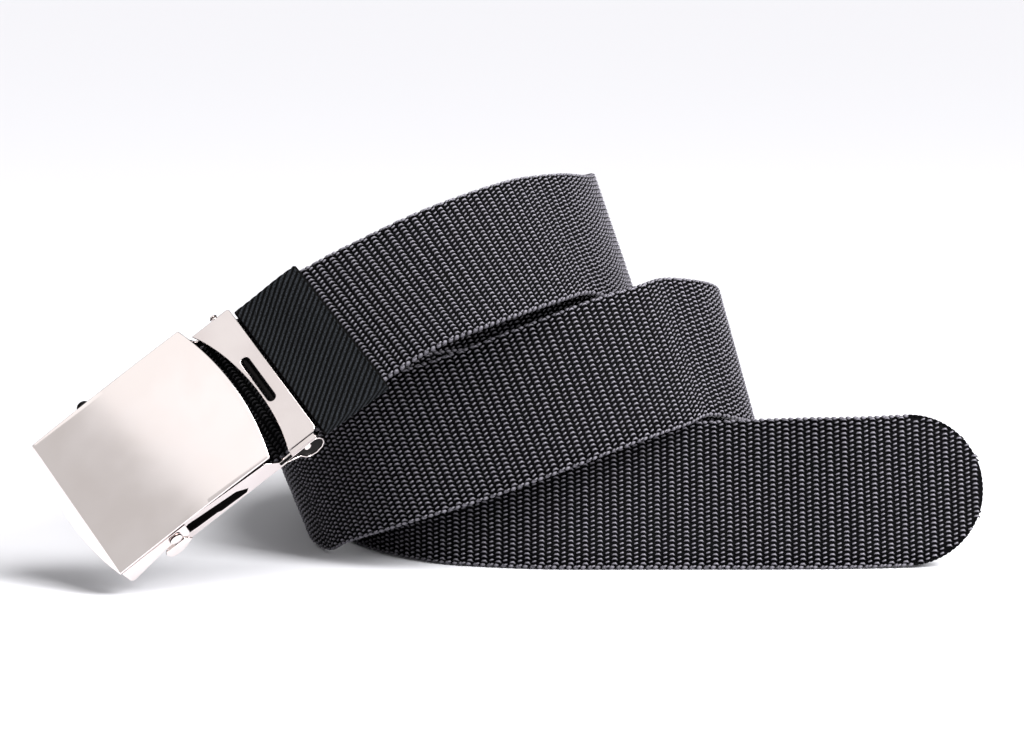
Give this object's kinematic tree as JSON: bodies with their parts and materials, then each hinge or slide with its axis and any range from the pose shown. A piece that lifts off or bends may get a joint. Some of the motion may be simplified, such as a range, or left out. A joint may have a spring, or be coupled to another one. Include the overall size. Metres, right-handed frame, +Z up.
{
  "type": "web belt",
  "caption": "Woven web belt rolled into an open rising coil on its edge, with a flip-top clamp buckle hinged at its outer end and a sleeve keeper beside it",
  "frame": {"origin": "the middle of the belt's box, on the floor that it stands on", "axes": "+X runs from the buckle to the free tip, along the longest side; +Y goes back through the coil; +Z is up"},
  "size_m": [0.2356, 0.1656, 0.096],
  "materials": {
    "webbing": "coarse woven charcoal black webbing with raised ribs",
    "keeper_twill": "black diagonal twill",
    "nickel": "polished nickel plated sheet steel, lightly scuffed"
  },
  "bodies": {
    "belt": {"webbing_strap": "webbing", "keeper_loop": "keeper_twill", "buckle_frame": "nickel", "cover_pin": "nickel", "jaw_pin": "nickel"},
    "cover": {"cover_plate": "nickel"},
    "jaw": {"clamp_jaw": "nickel"}
  },
  "joints": [
    {"name": "cover_hinge", "type": "hinge", "parent": "belt", "child": "cover", "pos_m": [-0.09305, -0.06799, 0.0279], "axis": [0.5543, -0.5301, -0.6417], "range_deg": [0, 85]},
    {"name": "jaw_hinge", "type": "hinge", "parent": "belt", "child": "jaw", "pos_m": [-0.06222, -0.06335, 0.05071], "axis": [-0.5543, 0.5301, 0.6417], "range_deg": [0, 25]}
  ]
}
